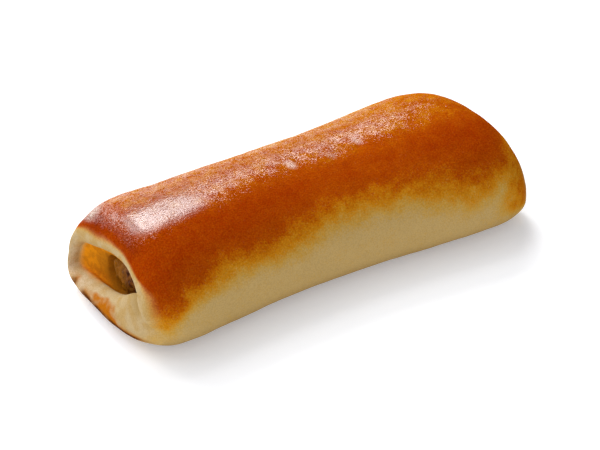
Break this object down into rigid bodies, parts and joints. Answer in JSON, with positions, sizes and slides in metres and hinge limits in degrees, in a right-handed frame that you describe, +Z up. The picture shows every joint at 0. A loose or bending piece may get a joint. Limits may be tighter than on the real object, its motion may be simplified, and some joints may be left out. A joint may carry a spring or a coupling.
{
  "type": "sausage roll",
  "caption": "Baked sausage roll: a glossy browned tube of soft bread dough, open at both ends, round a core of minced meat that sits back from the mouths.",
  "frame": {"origin": "on the surface that the roll rests on, under the middle of its bounding box", "axes": "+X along the roll from the open end nearest the viewer to the far end, -Y towards the side that faces the viewer, +Z up"},
  "size_m": [0.1414, 0.0602, 0.0345],
  "materials": {
    "baked_crust": "egg-washed crust: glossy red-brown top fading to matte pale sides",
    "minced_meat": "moist cooked mince, grey-brown and uneven"
  },
  "bodies": {
    "root": {"dough": "baked_crust", "filling": "minced_meat"}
  },
  "joints": []
}
